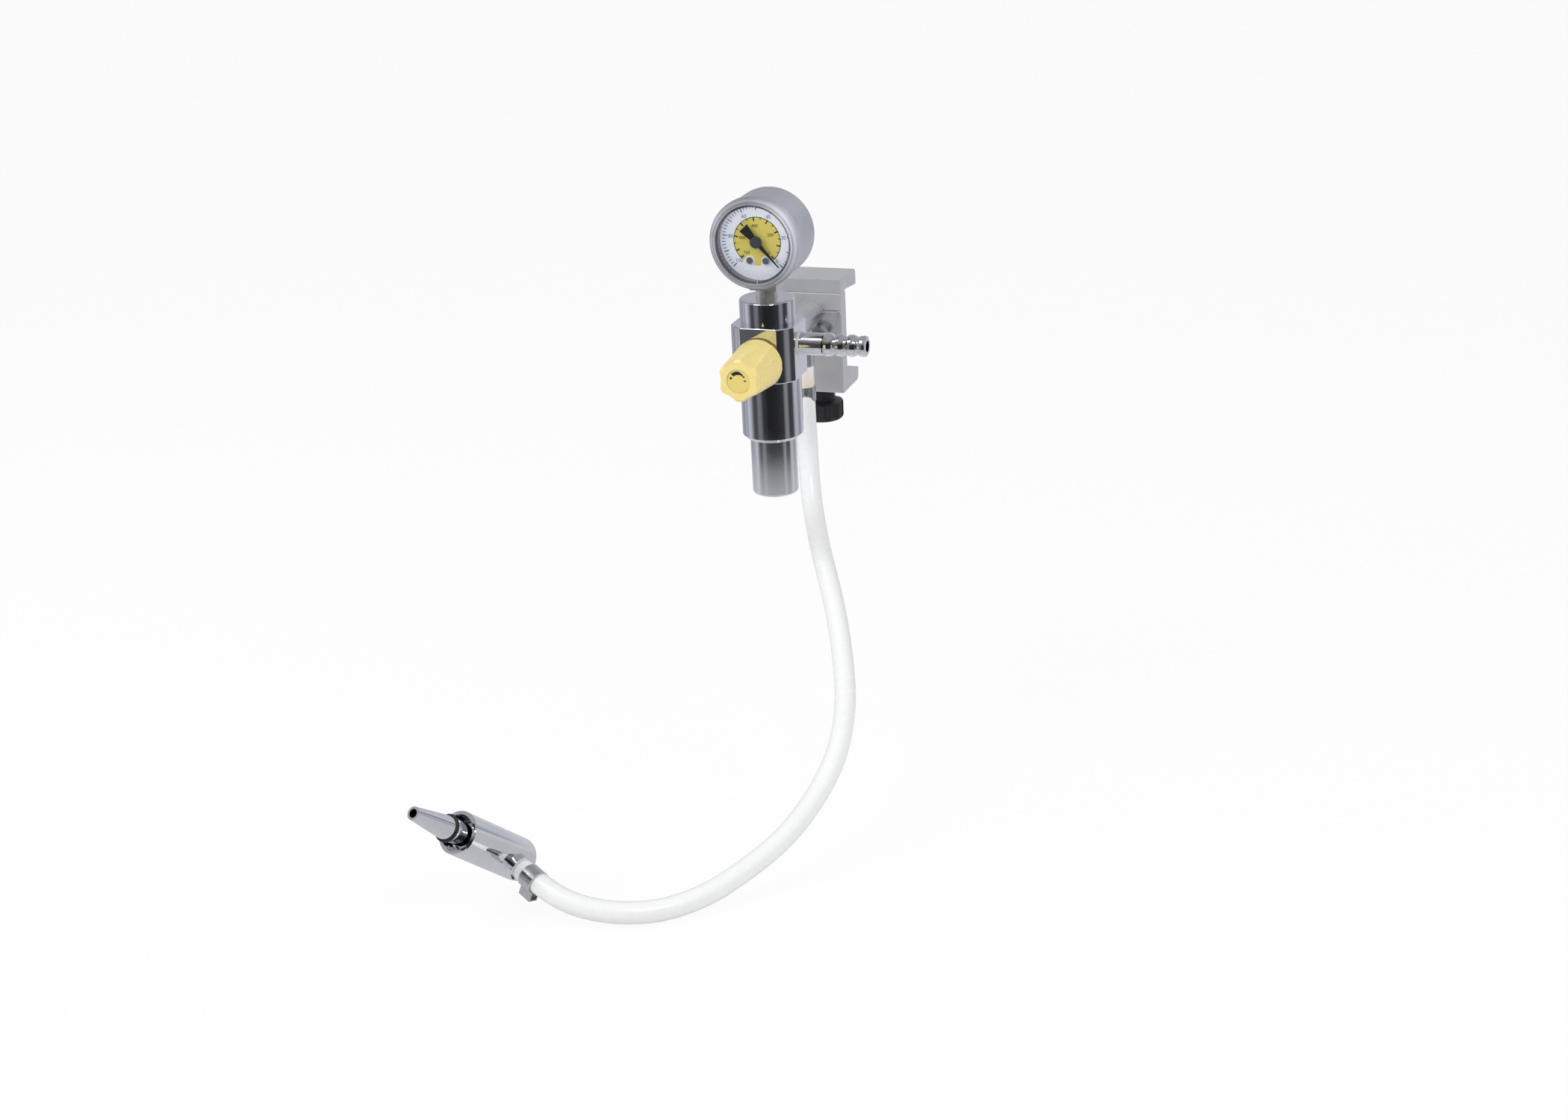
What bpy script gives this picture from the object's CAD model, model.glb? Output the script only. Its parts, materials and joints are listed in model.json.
# %% [markdown]
# ## A vacuum regulator on its rail clamp
#
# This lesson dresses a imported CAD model: a chromed vacuum regulator with a dial gauge, a
# yellow knob, a milky hose and a wall probe. The model brings every rigid shape at its real
# size. The lesson adds what the CAD leaves out: the finishes, the printed dial, the marks on
# the knob and the soft line of the hose. Lengths are metres, +Z is up, and the wall rail lies
# on the +Y side of the origin.

import bpy
import json
import math
from mathutils import Matrix, Vector


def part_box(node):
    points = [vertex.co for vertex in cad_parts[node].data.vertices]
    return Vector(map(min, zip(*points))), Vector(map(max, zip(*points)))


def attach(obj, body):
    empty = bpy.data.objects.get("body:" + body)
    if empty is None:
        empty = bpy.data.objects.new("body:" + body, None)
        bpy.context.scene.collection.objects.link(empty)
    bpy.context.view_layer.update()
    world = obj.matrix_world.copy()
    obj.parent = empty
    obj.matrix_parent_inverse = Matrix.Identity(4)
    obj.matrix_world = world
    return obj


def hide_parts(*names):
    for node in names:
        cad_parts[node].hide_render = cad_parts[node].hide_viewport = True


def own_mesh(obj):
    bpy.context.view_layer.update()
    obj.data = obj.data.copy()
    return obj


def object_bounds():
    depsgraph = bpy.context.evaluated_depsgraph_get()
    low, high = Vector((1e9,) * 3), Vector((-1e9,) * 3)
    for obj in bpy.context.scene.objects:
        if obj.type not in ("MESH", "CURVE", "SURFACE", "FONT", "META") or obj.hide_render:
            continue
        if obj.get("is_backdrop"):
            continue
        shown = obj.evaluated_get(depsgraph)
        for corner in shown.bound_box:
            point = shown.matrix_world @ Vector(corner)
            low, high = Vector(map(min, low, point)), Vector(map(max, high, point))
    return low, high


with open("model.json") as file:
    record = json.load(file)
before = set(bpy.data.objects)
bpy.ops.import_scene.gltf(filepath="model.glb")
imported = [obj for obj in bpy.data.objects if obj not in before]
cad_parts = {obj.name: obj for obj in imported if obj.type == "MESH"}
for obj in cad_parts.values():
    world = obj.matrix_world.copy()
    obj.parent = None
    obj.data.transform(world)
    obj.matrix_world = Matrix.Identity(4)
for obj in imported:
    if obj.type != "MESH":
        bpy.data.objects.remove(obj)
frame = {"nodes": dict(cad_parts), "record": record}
cad_low, cad_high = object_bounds()
nodes = frame["nodes"]
mm = 0.001


def new_object(name, data):
    """Put a mesh, curve, lamp or camera into the scene under that name."""
    thing = bpy.data.objects.new(name, data)
    bpy.context.scene.collection.objects.link(thing)
    return thing


# %% [markdown]
# ### The camera
#
# A photograph fixes where its camera stood: how far round the object, how high, how much it
# was tilted about its own line of sight, and how far away. The picture is 2100 by 1500 pixels.
# A distance of one metre and a focal length of about 51 mm give the regulator the foreshortening
# that the photograph shows. The camera's three axes are worked out from the angles, so that a
# reader can change one angle and see what it does.

# %% Stand the camera where the photographer stood
round_front = math.radians(19.25)
above_level = math.radians(21.505)
tilt = math.radians(2.663)
camera_distance = 1.0
focal_length = 51.03
axis_of_regulator = Vector((0, -67.6, 2.7)) * mm
frame_offset = Vector((-6.29, 89.58)) * mm

back = Vector((
    math.sin(round_front) * math.cos(above_level),
    -math.cos(round_front) * math.cos(above_level),
    math.sin(above_level),
))
level_right = Vector((math.cos(round_front), math.sin(round_front), 0))
level_up = back.cross(level_right)
right = level_right * math.cos(tilt) - level_up * math.sin(tilt)
up = level_right * math.sin(tilt) + level_up * math.cos(tilt)

camera_data = bpy.data.cameras.new("photo_camera")
camera_data.sensor_width = 36
camera_data.lens = focal_length
camera_data.clip_start = 0.01
camera = new_object("photo_camera", camera_data)
place = axis_of_regulator - right * frame_offset.x - up * frame_offset.y + back * camera_distance
camera.matrix_world = Matrix((
    (right.x, up.x, back.x, place.x),
    (right.y, up.y, back.y, place.y),
    (right.z, up.z, back.z, place.z),
    (0, 0, 0, 1),
))
bpy.context.scene.camera = camera

print("camera at", [round(value, 3) for value in place])

# %% [markdown]
# ### The hose
#
# The hose is about 38 cm of translucent tube. It leaves the hub straight down, swings out in
# one long bow and comes up to the probe. It could be a mesh made ring by ring, but a curve with
# a round bevel says the same with a dozen points. The points are chosen by hand: a NURBS spline
# treats them as magnets, not as stops, which gives the even bends of a real tube. The tube's
# thickness sits in the points' own radius, and the bevel depth is one, so that Blender's box
# round the curve is the tube's box.

# %% Lay the hose
hose_points = [
    (0, -20.1, -13.0),
    (0, -20.1, -46.0),
    (8, -40, -84),
    (33, -80, -120),
    (49, -126, -152),
    (39, -169, -176),
    (17, -205, -188),
    (1, -222, -191),
    (-14, -232, -190.5),
    (-32, -237.5, -188),
    (-50.14, -236.2, -183.6),
    (-66.66, -226.84, -179.13),
]
hose_diameter = 9.6 * mm

hose_curve = bpy.data.curves.new("clear_hose", "CURVE")
hose_curve.dimensions = "3D"
hose_curve.bevel_depth = 1.0
hose_curve.bevel_resolution = 8
hose_curve.resolution_u = 14
hose_curve.use_fill_caps = True
spline = hose_curve.splines.new("NURBS")
spline.points.add(len(hose_points) - 1)
for knot, spot in zip(spline.points, hose_points):
    knot.co = (spot[0] * mm, spot[1] * mm, spot[2] * mm, 1)
    knot.radius = hose_diameter / 2
spline.order_u = 3
spline.use_endpoint_u = True
spline.use_smooth = True

clear_hose = new_object("clear_hose", hose_curve)
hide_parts("hose")
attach(clear_hose, "regulator")

print("hose:", len(hose_points), "points,", round(spline.calc_length(), 4), "m")

# %% [markdown]
# ### Helpers for materials
#
# Every finish below is a small tree of nodes round one Principled shader. Noise in the part's
# own coordinates drives colour, roughness and bump, so nothing slides when the camera moves and
# no picture file is needed.

# %% Node helpers
def new_material(name):
    """A material with an empty node tree but for its output and one Principled shader."""
    material = bpy.data.materials.new(name)
    material.use_nodes = True
    return material, material.node_tree, material.node_tree.nodes["Principled BSDF"]


def add_node(tree, kind, **values):
    """Add a node and set its own properties or, by name, its inputs."""
    node = tree.nodes.new(kind)
    for key, value in values.items():
        if hasattr(node, key):
            setattr(node, key, value)
        else:
            node.inputs[key.replace("_", " ")].default_value = value
    return node


def join(tree, source, output, target, socket):
    """Wire one node's output into another node's input."""
    tree.links.new(source.outputs[output], target.inputs[socket])


def speckle(tree, scale, stretch=None):
    """Noise in the object's own metres, stretched if asked."""
    spot = add_node(tree, "ShaderNodeTexCoord")
    noise = add_node(tree, "ShaderNodeTexNoise", Scale=scale, Detail=3.0)
    if stretch is None:
        join(tree, spot, "Object", noise, "Vector")
    else:
        mapping = add_node(tree, "ShaderNodeMapping", Scale=stretch)
        join(tree, spot, "Object", mapping, "Vector")
        join(tree, mapping, "Vector", noise, "Vector")
    return noise


def ramp(tree, source, output, stops):
    """A colour ramp over a node's output; stops are pairs of place and grey or colour."""
    node = add_node(tree, "ShaderNodeValToRGB")
    elements = node.color_ramp.elements
    while len(elements) < len(stops):
        elements.new(0.5)
    for element, (spot, shade) in zip(elements, stops):
        element.position = spot
        colour = shade if isinstance(shade, tuple) else (shade, shade, shade)
        element.color = (*colour, 1)
    join(tree, source, output, node, "Fac")
    return node


def bump(tree, shader, source, output, strength, depth):
    """Feed a height into the shader's normal."""
    node = add_node(tree, "ShaderNodeBump", Strength=strength, Distance=depth)
    join(tree, source, output, node, "Height")
    join(tree, node, "Normal", shader, "Normal")


def mix(tree, share, first, second, how="MIX"):
    """Blend two colours; each of the three is a constant or a pair of node and output."""
    node = add_node(tree, "ShaderNodeMix", data_type="RGBA", blend_type=how)
    for socket, value in ((0, share), (6, first), (7, second)):
        if isinstance(value, tuple) and isinstance(value[0], bpy.types.Node):
            join(tree, *value, node, socket)
        else:
            node.inputs[socket].default_value = value
    return node, 2


print("helpers ready")

# %% [markdown]
# ### Floor, world and dark cards
#
# A product shot of polished metal is a picture of its surroundings. The floor and the backdrop
# are plain and pale. What chrome needs besides is something dark to mirror, or its round forms
# vanish: a studio stands black cards just out of view. The camera looks down a little, so an
# upright wall of chrome mirrors the floor some way off and not the sky. The cards are therefore
# painted twice, on the world and on the floor beyond the object, and only for mirror rays. They
# are dark and bright bands by compass direction round the regulator. Near the object the floor
# stays bright, which is what the probe and the undersides show.

# %% Bands by compass direction
card_bands = [
    (0.016, 0.030), (0.046, 0.050), (0.066, 0.170), (0.096, 0.190), (0.118, 0.070), (0.150, 0.080),
    (0.172, 0.26), (0.196, 0.50), (0.222, 0.60), (0.246, 0.34), (0.272, 0.46), (0.310, 0.28),
    (0.344, 0.40), (0.446, 0.45), (0.549, 0.60),
    (0.590, 0.38), (0.622, 0.27), (0.650, 0.50), (0.690, 0.44), (0.718, 0.060), (0.762, 0.050),
    (0.784, 0.240), (0.808, 0.220), (0.830, 0.040), (0.897, 0.022), (0.946, 0.018),
]


def split(tree, source, output):
    """The three coordinates of a vector, each as an output of its own."""
    parts = add_node(tree, "ShaderNodeSeparateXYZ")
    join(tree, source, output, parts, 0)
    return parts


def turn_share(tree, parts, over, under):
    """The angle whose tangent is one coordinate over another, as a share of a full turn."""
    angle = add_node(tree, "ShaderNodeMath", operation="ARCTAN2")
    share = add_node(tree, "ShaderNodeMapRange", From_Min=-math.pi, From_Max=math.pi)
    join(tree, parts, over, angle, 0)
    join(tree, parts, under, angle, 1)
    join(tree, angle, 0, share, "Value")
    return share


def compass_bands(tree, parts):
    """The cards' colour, a little cool, in the direction that the coordinates give."""
    compass = turn_share(tree, parts, "X", "Y")
    cool = [(spot, (0.96 * grey, 0.98 * grey, 1.09 * grey)) for spot, grey in card_bands]
    return ramp(tree, compass, "Result", cool)


print("bands:", len(card_bands))

# %% [markdown]
# ### The pale floor
#
# A studio sweep could be a curved sheet, but one big flat sheet does the same for this view and
# lets the contact shadow fall where the probe hangs lowest. The floor answers two kinds of ray in
# two ways. The camera sees a pale paint that glows a little, so that it stays nearly white. A
# mirror ray sees the cards, from about 0.4 m outwards.

# %% Pale floor
floor_level = cad_low.z - 0.6 * mm
floor_half = 3.0
camera_glow = 0.93
near_grey = (0.66, 0.66, 0.68, 1)
floor_mesh = bpy.data.meshes.new("studio_floor")
floor_mesh.from_pydata(
    [(-floor_half, -floor_half, floor_level), (floor_half, -floor_half, floor_level),
     (floor_half, floor_half, floor_level), (-floor_half, floor_half, floor_level)],
    [], [(0, 1, 2, 3)])
studio_floor = new_object("studio_floor", floor_mesh)
studio_floor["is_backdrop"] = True

floor_paint, tree, shader = new_material("floor_paint")
shader.inputs["Base Color"].default_value = (0.86, 0.86, 0.86, 1)
shader.inputs["Roughness"].default_value = 0.8
glow = add_node(tree, "ShaderNodeEmission", Color=(1, 1, 1, 1), Strength=1.0)
path = add_node(tree, "ShaderNodeLightPath")
share = add_node(tree, "ShaderNodeMath", operation="MULTIPLY")
share.inputs[1].default_value = camera_glow
pale = add_node(tree, "ShaderNodeMixShader")
join(tree, path, "Is Camera Ray", share, 0)
join(tree, share, 0, pale, 0)
join(tree, shader, 0, pale, 1)
join(tree, glow, 0, pale, 2)

print("floor at", round(floor_level, 4))

# %% The cards as the floor mirrors them
ground = add_node(tree, "ShaderNodeNewGeometry")
shifted = add_node(tree, "ShaderNodeVectorMath", operation="SUBTRACT")
shifted.inputs[1].default_value = (0, axis_of_regulator.y, floor_level)
join(tree, ground, "Position", shifted, 0)
cards = compass_bands(tree, split(tree, shifted, 0))
away = add_node(tree, "ShaderNodeVectorMath", operation="LENGTH")
join(tree, shifted, 0, away, 0)
near = ramp(tree, away, "Value", [
    (0.30, 0.20), (0.40, 0.42), (0.44, 0.64), (0.47, 0.92), (0.52, 1.0),
])
carded = mix(tree, (near, "Color"), near_grey, (cards, "Color"))
mirrored = add_node(tree, "ShaderNodeEmission", Strength=1.0)
join(tree, *carded, mirrored, "Color")
seen_by = add_node(tree, "ShaderNodeMixShader")
join(tree, path, "Is Glossy Ray", seen_by, 0)
join(tree, pale, 0, seen_by, 1)
join(tree, mirrored, 0, seen_by, 2)
join(tree, seen_by, 0, tree.nodes["Material Output"], "Surface")
studio_floor.data.materials.append(floor_paint)

print("floor paint:", len(tree.nodes), "nodes")

# %% [markdown]
# ### The world
#
# The backdrop is white to the camera and through clear plastic. To a mirror ray it is the cards
# again, with a darker ceiling above them, so that a level chrome face isn't blown out. To every
# other ray it is one even grey that fills the shadows. A picture of a studio could do this too,
# but three mixes do it without a file.

# %% The world
world = bpy.data.worlds.new("studio_world")
bpy.context.scene.world = world
world.use_nodes = True
tree = world.node_tree
ceiling_grey = (0.34, 0.34, 0.35, 1)
fill_grey = (0.46, 0.47, 0.48, 1)
direction = add_node(tree, "ShaderNodeTexCoord")
path = add_node(tree, "ShaderNodeLightPath")
parts = split(tree, direction, "Generated")
cards = compass_bands(tree, parts)
overhead = ramp(tree, parts, "Z", [(0.30, 0.0), (0.75, 1.0)])
ceiling = mix(tree, (overhead, "Color"), (cards, "Color"), ceiling_grey)
fill = mix(tree, (path, "Is Glossy Ray"), fill_grey, ceiling)
clear = add_node(tree, "ShaderNodeMath", operation="MAXIMUM")
join(tree, path, "Is Camera Ray", clear, 0)
join(tree, path, "Is Transmission Ray", clear, 1)
seen = mix(tree, (clear, 0), fill, (1, 1, 1, 1))
join(tree, *seen, tree.nodes["Background"], "Color")

print("world:", len(tree.nodes), "nodes")

# %% [markdown]
# ### Four soft lamps
#
# Softboxes are broad, so their shadows have no hard edge. The two big ones at the sides light
# the plastic and the clamp, and are hidden from mirror rays, because they would fill the chrome.
# The two small ones above are the bright spots that polished edges and the barb's beads show.

# %% Soft lamps
def soft_lamp(name, spot, aim, wide, tall, power, mirrored):
    """A rectangular lamp that faces a point of the object and may show in its polish."""
    data = bpy.data.lights.new(name, "AREA")
    data.shape = "RECTANGLE"
    data.size = wide
    data.size_y = tall
    data.energy = power
    lamp = new_object(name, data)
    lamp.visible_glossy = mirrored
    lamp.location = spot
    lamp.rotation_euler = (Vector(aim) - Vector(spot)).to_track_quat("-Z", "Y").to_euler()
    return lamp


centre = (cad_low + cad_high) / 2
lamps = [
    soft_lamp("left_softbox", (-0.9, -0.75, 0.7), centre, 0.6, 0.9, 7.0, False),
    soft_lamp("right_softbox", (1.0, -0.35, 0.45), centre, 0.35, 0.9, 3.5, False),
    soft_lamp("top_left_box", (-0.45, -0.55, 0.95), centre, 0.35, 0.35, 2.6, True),
    soft_lamp("top_right_box", (0.50, -0.70, 0.80), centre, 0.25, 0.25, 1.6, True),
]
bpy.context.scene.view_settings.view_transform = "Standard"

print("lamps:", [lamp.name for lamp in lamps])

# %% [markdown]
# ### Metals
#
# Most of the regulator is brass under polished chrome. Chrome is nearly a mirror, so its colour
# is the room's; what makes it look made is a very faint waviness from polishing and a little
# haze. The gauge case and the clamp are duller: one is brushed steel, the other an anodised
# extrusion with fine lines along its length. Scanned surfaces could be wrapped on, but they need
# seams and files. Each finish is instead a Principled shader whose roughness and bump come from
# noise in the part's own metres.

# %% Metal finishes
def metal(name, colour, rough_low, rough_high, grain, grain_depth, stretch=None, metallic=1.0):
    """A metal whose roughness wanders between two values and whose grain is a faint bump."""
    material, tree, shader = new_material(name)
    shader.inputs["Metallic"].default_value = metallic
    tone = speckle(tree, 60.0)
    shade = ramp(tree, tone, "Fac", [(0.35, tuple(c * 0.95 for c in colour)), (0.65, colour)])
    join(tree, shade, "Color", shader, "Base Color")
    haze = speckle(tree, 220.0)
    spread = ramp(tree, haze, "Fac", [(0.3, rough_low), (0.7, rough_high)])
    join(tree, spread, "Color", shader, "Roughness")
    lines = speckle(tree, grain, stretch)
    bump(tree, shader, lines, "Fac", 0.25, grain_depth)
    return material


polished_chrome = metal("polished_chrome", (0.86, 0.87, 0.90), 0.04, 0.09, 90.0, 0.00002)
satin_chrome = metal("satin_chrome", (0.92, 0.92, 0.93), 0.26, 0.34, 90.0, 0.00002)
satin_case = metal("satin_case", (0.78, 0.79, 0.81), 0.30, 0.40, 900.0, 0.00001, (1.0, 0.05, 1.0))
brushed_extrusion = metal("brushed_extrusion", (0.72, 0.72, 0.735), 0.38, 0.50, 1500.0, 0.00002,
                          (0.03, 1.0, 1.0), metallic=0.6)
turned_brass = metal("turned_brass", (0.80, 0.66, 0.38), 0.15, 0.25, 1200.0, 0.00001,
                     (1.0, 1.0, 0.1))
nickelled_brass = metal("nickelled_brass", (0.98, 0.95, 0.88), 0.40, 0.46, 120.0, 0.000001)
plated_steel = metal("plated_steel", (0.70, 0.71, 0.72), 0.18, 0.3, 700.0, 0.00001)
sintered_bronze = metal("sintered_bronze", (0.55, 0.44, 0.30), 0.5, 0.7, 2500.0, 0.0001)

print("metals:", [m.name for m in bpy.data.materials if "floor" not in m.name])

# %% [markdown]
# ### The stud's thread
#
# The clamp's stud has an M8 thread. The CAD gives it a plain rod of the right size, because a
# cut thread is thousands of faces that nobody sees under the knob. A wave texture along the
# screw's axis, used as a bump, gives one ridge in every pitch. The wave texture repeats every
# twentieth of a full circle at scale one, which is why that number stands in its scale.

# %% A threaded stud
thread_pitch = 1.25 * mm
wave_at_scale_one = math.tau / 20


def threaded_steel(pitch):
    """Plated steel whose bump repeats along the screw's axis once in every pitch."""
    material = plated_steel.copy()
    material.name = "threaded_steel"
    tree = material.node_tree
    shader = tree.nodes["Principled BSDF"]
    spot = add_node(tree, "ShaderNodeTexCoord")
    ridges = add_node(tree, "ShaderNodeTexWave", bands_direction="Z")
    ridges.inputs["Scale"].default_value = wave_at_scale_one / pitch
    join(tree, spot, "Object", ridges, "Vector")
    bump(tree, shader, ridges, "Color", 1.0, 0.4 * pitch)
    return material


stud_thread = threaded_steel(thread_pitch)

print("thread pitch", round(thread_pitch / mm, 2), "mm")

# %% [markdown]
# ### Plastics and rubber
#
# Moulded plastic takes its skin from the mould: a fine even roughness made by spark erosion,
# with a soft gloss over it. The skin could be modelled, but it is far finer than a face, so it
# is a bump from fine noise. The knob's yellow lets a little light in, which softens its flutes.

# %% Plastic finishes
def plastic(name, colour, rough, grain, grain_depth, subsurface=0.0):
    """A moulded plastic: slight colour drift, a fine spark-eroded skin and a soft gloss."""
    material, tree, shader = new_material(name)
    tone = speckle(tree, 35.0)
    shade = ramp(tree, tone, "Fac", [(0.3, tuple(c * 0.97 for c in colour)), (0.7, colour)])
    join(tree, shade, "Color", shader, "Base Color")
    haze = speckle(tree, 300.0)
    spread = ramp(tree, haze, "Fac", [(0.3, rough * 0.85), (0.7, rough * 1.15)])
    join(tree, spread, "Color", shader, "Roughness")
    shader.inputs["Subsurface Weight"].default_value = subsurface
    shader.inputs["Subsurface Scale"].default_value = 0.002
    skin = speckle(tree, grain)
    bump(tree, shader, skin, "Fac", 0.2, grain_depth)
    return material


knob_yellow = plastic("knob_yellow", (0.93, 0.76, 0.29), 0.30, 1800.0, 0.000002, subsurface=0.1)
insert_yellow = plastic("insert_yellow", (0.84, 0.67, 0.20), 0.42, 1800.0, 0.00001, subsurface=0.1)
moulded_black = plastic("moulded_black", (0.018, 0.018, 0.02), 0.42, 2200.0, 0.00004)
ring_rubber = plastic("ring_rubber", (0.02, 0.02, 0.02), 0.6, 1500.0, 0.00003)
washer_nylon = plastic("washer_nylon", (0.86, 0.85, 0.80), 0.45, 1500.0, 0.00002)
filter_felt = plastic("filter_felt", (0.82, 0.81, 0.76), 0.9, 900.0, 0.0003)
dial_white = plastic("dial_white", (0.90, 0.93, 1.0), 0.5, 1200.0, 0.00001)
pointer_black = plastic("pointer_black", (0.012, 0.012, 0.015), 0.38, 1500.0, 0.00001)
boss_grey = plastic("boss_grey", (0.045, 0.05, 0.06), 0.35, 1500.0, 0.00001)
print_yellow = plastic("print_yellow", (0.75, 0.63, 0.13), 0.5, 1500.0, 0.00001)
print_black = plastic("print_black", (0.02, 0.02, 0.02), 0.55, 1500.0, 0.00001)
print_blue = plastic("print_blue", (0.10, 0.19, 0.42), 0.55, 1500.0, 0.00001)

print("plastics ready")

# %% [markdown]
# ### The clear parts
#
# The gauge window is one clear moulding: a flat pane with a thick bevelled rim that bends the
# light and shows bright and dark rings. Real glass could be traced for both, but it takes many
# samples and the rings would depend on a room that isn't there. So the rim has its rings and
# arcs painted by distance and direction from the gauge's axis, under a glossy coat. The pane is
# made with alpha, because a pane this thin hardly bends light. The hose is milky: it is painted
# nearly white with a thin coat, and the brass barb that shows through its first two
# centimetres is a warm tint by height.

# %% A clear or milky moulding
def clear_moulding(name, colour, rough, transmission, alpha=1.0):
    """A smooth plastic with slight haze; its colour's ramp is returned for further mixing."""
    material, tree, shader = new_material(name)
    shader.inputs["Transmission Weight"].default_value = transmission
    shader.inputs["IOR"].default_value = 1.46
    shader.inputs["Alpha"].default_value = alpha
    tone = speckle(tree, 25.0)
    shade = ramp(tree, tone, "Fac", [(0.3, tuple(c * 0.97 for c in colour)), (0.7, colour)])
    join(tree, shade, "Color", shader, "Base Color")
    haze = speckle(tree, 200.0)
    spread = ramp(tree, haze, "Fac", [(0.3, rough * 0.8), (0.7, rough * 1.2)])
    join(tree, spread, "Color", shader, "Roughness")
    return material, shader, (shade, "Color")


window_pane = clear_moulding("window_pane", (0.10, 0.10, 0.11), 0.03, 0.0, alpha=0.05)[0]

print("pane:", window_pane.name)

# %% The window's rim
window_rim, shader, tone = clear_moulding("window_rim", (0.50, 0.505, 0.56), 0.05, 0.25)
shader.inputs["Coat Weight"].default_value = 0.8
shader.inputs["Coat Roughness"].default_value = 0.03
tree = window_rim.node_tree
gauge_axis = Vector((0, axis_of_regulator.y, 59.7 * mm))
rim_inner = 17.0 * mm
rim_outer = 20.6 * mm

spot = add_node(tree, "ShaderNodeTexCoord")
from_axis = add_node(tree, "ShaderNodeVectorMath", operation="SUBTRACT")
from_axis.inputs[1].default_value = gauge_axis
flat = add_node(tree, "ShaderNodeVectorMath", operation="MULTIPLY")
flat.inputs[1].default_value = (1, 0, 1)
reach = add_node(tree, "ShaderNodeVectorMath", operation="LENGTH")
share = add_node(tree, "ShaderNodeMapRange", From_Min=rim_inner, From_Max=rim_outer)
join(tree, spot, "Object", from_axis, 0)
join(tree, from_axis, 0, flat, 0)
join(tree, flat, 0, reach, 0)
join(tree, reach, "Value", share, "Value")
rings = ramp(tree, share, "Result", [
    (0.0, 0.22), (0.08, 0.30), (0.18, 1.3), (0.4, 0.72), (0.62, 1.35), (0.8, 1.0), (1.0, 0.75),
])
turn = turn_share(tree, split(tree, flat, 0), "Z", "X")
arcs = ramp(tree, turn, "Result", [
    (0.0, 1.0), (0.08, 0.75), (0.16, 0.62), (0.24, 0.80), (0.34, 0.60), (0.42, 0.95), (0.55, 1.35),
    (0.62, 1.5), (0.70, 0.9), (0.76, 0.62), (0.84, 0.70), (0.92, 0.95), (0.97, 0.8), (1.0, 1.0),
])
ringed = mix(tree, 1.0, (arcs, "Color"), (rings, "Color"), "MULTIPLY")
shaded = mix(tree, 1.0, tone, ringed, "MULTIPLY")
join(tree, *shaded, shader, "Base Color")

print("rim:", len(rings.color_ramp.elements), "rings and", len(arcs.color_ramp.elements), "arcs")

# %% The milky hose
milky_hose, shader, milk = clear_moulding("milky_hose", (0.93, 0.93, 0.925), 0.26, 0.0)
shader.inputs["Coat Weight"].default_value = 0.3
tree = milky_hose.node_tree
brass_low = -34 * mm
brass_high = -13 * mm
brass_tint = (0.80, 0.60, 0.36, 1)

spot = add_node(tree, "ShaderNodeTexCoord")
band = add_node(tree, "ShaderNodeMapRange", From_Min=brass_low, From_Max=brass_high)
join(tree, split(tree, spot, "Object"), "Z", band, "Value")
glimpse = ramp(tree, band, "Result", [(0.25, 0.0), (0.5, 0.6), (0.75, 0.35), (1.0, 0.05)])
warm = mix(tree, (glimpse, "Color"), milk, brass_tint)
join(tree, *warm, shader, "Base Color")
clear_hose.data.materials.append(milky_hose)

print("hose finish on", clear_hose.name)

# %% [markdown]
# ### A finish for every piece
#
# The CAD names a material slot for each piece, such as chrome or brass, so one table from slot
# to finish dresses the whole model. A few pieces share a slot with others but look different
# on the real object, such as the nickelled neck of the gauge; they stand in a second, shorter
# table by their own names.

# %% Give every carried-over piece its finish
finishes = {
    "chrome": polished_chrome,
    "satin_steel": satin_case,
    "aluminium": brushed_extrusion,
    "brass": turned_brass,
    "steel": plated_steel,
    "clear_plastic": window_rim,
    "dial_white": dial_white,
    "pointer_grey": pointer_black,
    "yellow_plastic": knob_yellow,
    "black_plastic": moulded_black,
    "black_rubber": ring_rubber,
    "nylon": washer_nylon,
    "felt": filter_felt,
    "sintered_bronze": sintered_bronze,
    "clear_hose": milky_hose,
}
special = {
    "gauge_socket": nickelled_brass,
    "clamp_stud": stud_thread,
    "knob_insert": insert_yellow,
    "mount_hub": satin_chrome,
    "dial_screws": satin_case,
}
for entry in frame["record"]["subparts"]:
    node = nodes[entry["node"]]
    node.data.materials.clear()
    node.data.materials.append(special.get(entry["node"], finishes[entry["material_slot"]]))

# %% [markdown]
# ### The limiter's spring
#
# When the poppet lifts, its nut pushes the spring shorter from below, while the spring's upper
# end stays on the seat disc. A coil could be built anew for each pose, but squash does the same
# from one shape: the coil keeps only its share of its length.

# %% Spring that shortens
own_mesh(nodes["limiter_spring"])

# %% [markdown]
# ### Two finishes on one piece
#
# The window's pane and its rim are one moulding in the CAD, and so are the pointer's blade and
# its boss. They could be cut apart, but a mesh can carry several materials, and each face says
# which one it wears. The faces are picked by where they lie: the pane's faces are flat and near
# the dial's axis. The window casts no shadow, because clear plastic lets the light through.

# %% Pane and boss by face
def dress_faces(node, finish, wanted):
    """Give a second finish to the faces that a test picks."""
    mesh = node.data
    mesh.materials.append(finish)
    count = 0
    for face in mesh.polygons:
        if wanted(face):
            face.material_index = len(mesh.materials) - 1
            count += 1
    return count


dial_low, dial_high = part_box("gauge_dial")
dial_middle = Vector(((dial_low.x + dial_high.x) / 2, dial_low.y, (dial_low.z + dial_high.z) / 2))
pane_reach = 17.3 * mm
boss_reach = 2.65 * mm


def off_axis(spot):
    """Distance of a point from the dial's axis, which runs along Y."""
    return math.hypot(spot.x - dial_middle.x, spot.z - dial_middle.z)


def in_pane(face):
    """True for the window's flat faces inside its rim."""
    return abs(face.normal.y) > 0.9 and off_axis(face.center) < pane_reach


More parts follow.
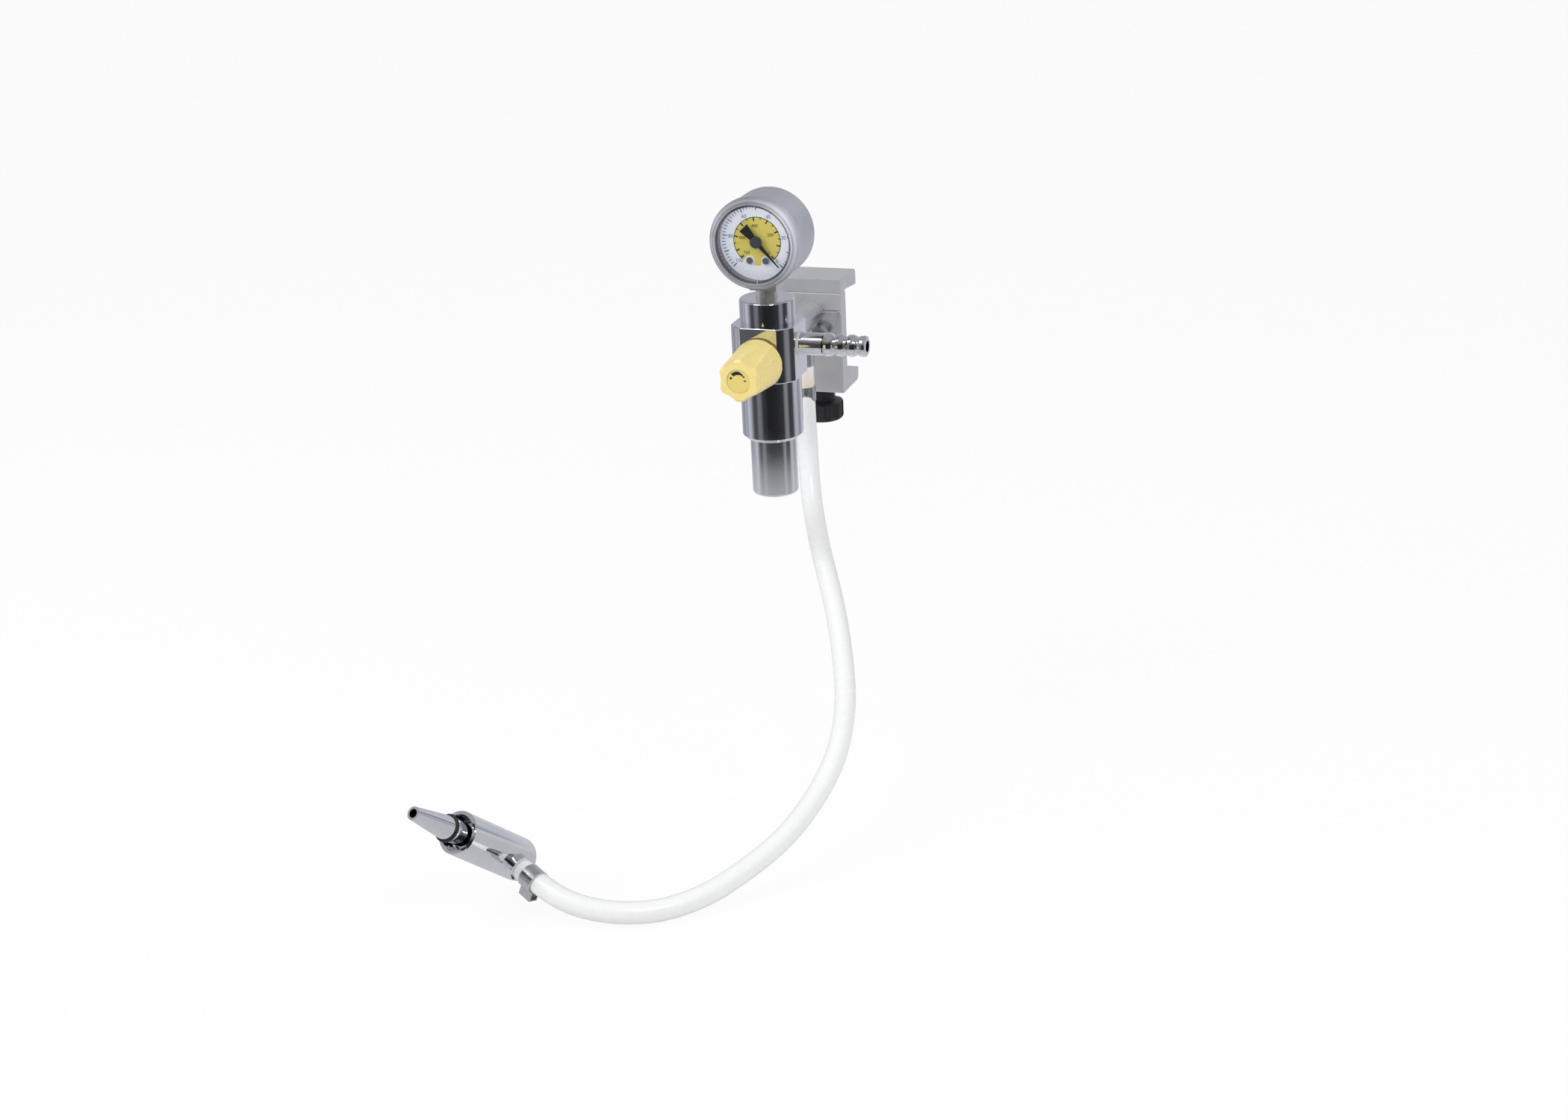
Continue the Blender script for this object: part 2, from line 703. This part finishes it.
def on_boss(face):
    """True for the front of the pointer's round middle."""
    return face.normal.y < -0.9 and off_axis(face.center) < boss_reach


pane_faces = dress_faces(nodes["gauge_window"], window_pane, in_pane)
boss_faces = dress_faces(nodes["gauge_pointer"], boss_grey, on_boss)
nodes["gauge_window"].visible_shadow = False

print("pane faces:", pane_faces, "boss faces:", boss_faces)

# %% [markdown]
# ### The printed dial
#
# A gauge dial is a painted disc with two scales: an outer one in blue and an inner one in black
# on a yellow field. A picture file could carry the print, but shapes stay sharp at any distance,
# and a reader can change one number and see the scale move. Every line is a thin flat shape that
# lies a few hundredths of a millimetre above the disc. The field has two bites for the screws.

# %% Flat shapes
size_for_height = 1.4


def print_on(name, shapes, centre, lift, finish, body):
    """A mesh of flat shapes, given in millimetres round a centre, facing the user."""
    spots = []
    faces = []
    for shape in shapes:
        faces.append(tuple(range(len(spots), len(spots) + len(shape))))
        spots += [(centre.x + x * mm, centre.y - lift * mm, centre.z + z * mm) for x, z in shape]
    mesh = bpy.data.meshes.new(name)
    mesh.from_pydata(spots, [], faces)
    mesh.materials.append(finish)
    thing = new_object(name, mesh)
    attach(thing, body)
    return thing


def around(reach, bearing):
    """A point at a distance from the centre; the bearing is in degrees from the right."""
    angle = math.radians(bearing)
    return reach * math.cos(angle), reach * math.sin(angle)


def stroke(one, other, wide):
    """A straight line of some width, as a four-cornered shape."""
    along = Vector(other) - Vector(one)
    side = Vector((-along.y, along.x)).normalized() * wide / 2
    return [(one[0] - side.x, one[1] - side.y), (other[0] - side.x, other[1] - side.y),
            (other[0] + side.x, other[1] + side.y), (one[0] + side.x, one[1] + side.y)]


def arc(inner, outer, first, last, steps):
    """A curved band as a row of four-cornered shapes; the outer edge is a function of bearing."""
    shapes = []
    for step in range(steps):
        a = first + (last - first) * step / steps
        b = first + (last - first) * (step + 1) / steps
        shapes.append([
            around(inner, a), around(outer(a), a), around(outer(b), b), around(inner, b),
        ])
    return shapes


def letters(word, tall, centre):
    """A short number of some height as flat shapes round a centre, in millimetres."""
    font = bpy.data.curves.new("number", "FONT")
    font.body = word
    font.size = tall * size_for_height
    font.align_x = "CENTER"
    font.align_y = "CENTER"
    font.resolution_u = 3
    thing = bpy.data.objects.new("number", font)
    mesh = bpy.data.meshes.new_from_object(thing)
    shapes = [[(centre[0] + mesh.vertices[index].co.x, centre[1] + mesh.vertices[index].co.y)
               for index in face.vertices] for face in mesh.polygons]
    bpy.data.objects.remove(thing)
    bpy.data.meshes.remove(mesh)
    return shapes


print("dial centre", [round(value / mm, 2) for value in dial_middle])

# %% [markdown]
# ### The yellow field and the scales
#
# The field, the lines and the numbers lie on three heights, so that no two colours share a
# plane and flicker. Both scales run over the same three quarters of a turn, so one function
# says where a number of either scale lies.

# %% The yellow field
field_radius = 10.8
field_hole = 1.3
field_steps = 180
field_lift = 0.03
bite_radius = 2.2
screw_spots = [(-3.7, -8.5), (3.7, -8.5)]


def field_edge(bearing):
    """How far the yellow reaches at a bearing, less where a screw bites into it."""
    reach = field_radius
    way = around(1.0, bearing)
    for screw in screw_spots:
        along = way[0] * screw[0] + way[1] * screw[1]
        aside = abs(way[0] * screw[1] - way[1] * screw[0])
        if along > 0 and aside < bite_radius:
            reach = min(reach, along - math.sqrt(bite_radius ** 2 - aside ** 2))
    return reach


yellow_field = print_on(
    "yellow_field", arc(field_hole, field_edge, 0, 360, field_steps), dial_middle, field_lift,
    print_yellow, "regulator",
)

print("field faces:", len(yellow_field.data.polygons))

# %% The two scales
scale_start = 225
scale_sweep = -270
black_top = 76
blue_top = 100
border = 0.15
border_steps = 90


def bearing_of(number, top):
    """The bearing of a number on a scale that starts at its top number and falls to nought."""
    return scale_start + scale_sweep * (top - number) / top


def ticks(numbers, top, inner, outer, wide):
    """A line across the scale at each of some numbers."""
    bearings = [bearing_of(number, top) for number in numbers]
    return [stroke(around(inner, spot), around(outer, spot), wide) for spot in bearings]


def border_edge(bearing):
    """The outer edge of the line round the field, the same at every bearing."""
    return field_radius + border


black_lines = [
    *arc(field_radius - border, border_edge, scale_start, scale_start + scale_sweep, border_steps),
    *ticks([*range(0, 71, 10), black_top], black_top, field_radius - 1.8, field_radius, 0.6),
    *ticks(range(5, black_top, 10), black_top, field_radius - 1.0, field_radius, 0.36),
]
blue_lines = [
    *ticks(range(0, 101, 10), blue_top, 14.0, 16.3, 0.5),
    *ticks([n for n in range(0, 101, 2) if n % 10], blue_top, 14.8, 16.3, 0.34),
]

print("lines:", len(black_lines), "black and", len(blue_lines), "blue")

# %% The numbers
black_reach = {0: 7.3, 20: 6.9, 40: 6.9, 60: 6.9, black_top: 7.3}
black_height = 1.45
black_lift = 0.06
blue_reach = 12.3
blue_height = 1.7
blue_lift = 0.05

for number, reach in black_reach.items():
    spot = around(reach, bearing_of(number, black_top))
    black_lines += letters(str(number * 10), black_height, spot)
for number in range(0, blue_top + 1, 20):
    spot = around(blue_reach, bearing_of(number, blue_top))
    blue_lines += letters(str(number), blue_height, spot)

black_print = print_on("black_print", black_lines, dial_middle, black_lift, print_black,
                       "regulator")
blue_print = print_on("blue_print", blue_lines, dial_middle, blue_lift, print_blue,
                      "regulator")

print("shapes:", len(black_print.data.polygons), "black,", len(blue_print.data.polygons), "blue")

# %% [markdown]
# ### The marks on the knob
#
# The knob's front disc says which way to turn for more vacuum: a curved arrow between a plus and
# a minus. The marks are pad-printed: they could be painted by a shader, but they are as flat as
# the dial's lines and use the same helpers. They ride on the knob and turn with it.

# %% Arrow, plus and minus
disc_low, disc_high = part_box("knob_insert")
disc_middle = Vector(((disc_low.x + disc_high.x) / 2, disc_low.y, (disc_low.z + disc_high.z) / 2))


def arrow_edge(bearing):
    """The arrow's outer edge: the line is widest at its tail and thins towards its head."""
    return 3.25 + 1.25 * min(1, (bearing - 40) / 55)


arrow_arc = arc(2.95, arrow_edge, 137, 42, 24)
arrow_head = [around(2.75, 43), around(3.75, 43), around(3.25, 28)]
plus_mark = [stroke((-4.0, 1.3), (-2.8, 1.3), 0.5), stroke((-3.4, 0.7), (-3.4, 1.9), 0.5)]
minus_mark = [stroke((2.4, 0.3), (3.5, 0.3), 0.5)]
knob_marks = print_on(
    "knob_marks", [*arrow_arc, arrow_head, *plus_mark, *minus_mark], disc_middle, 0.04,
    print_black, "knob",
)

print("knob marks:", len(knob_marks.data.polygons), "shapes")

# %% [markdown]
# ### The last step
#
# The visual model may not outgrow the CAD model, so both boxes are written down side by side.

# %% Sizes for the record
visual_low, visual_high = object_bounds()

for side, cad, visual in (("low", cad_low, visual_low), ("high", cad_high, visual_high)):
    print(side, "cad", [round(c, 4) for c in cad], "visual", [round(v, 4) for v in visual])
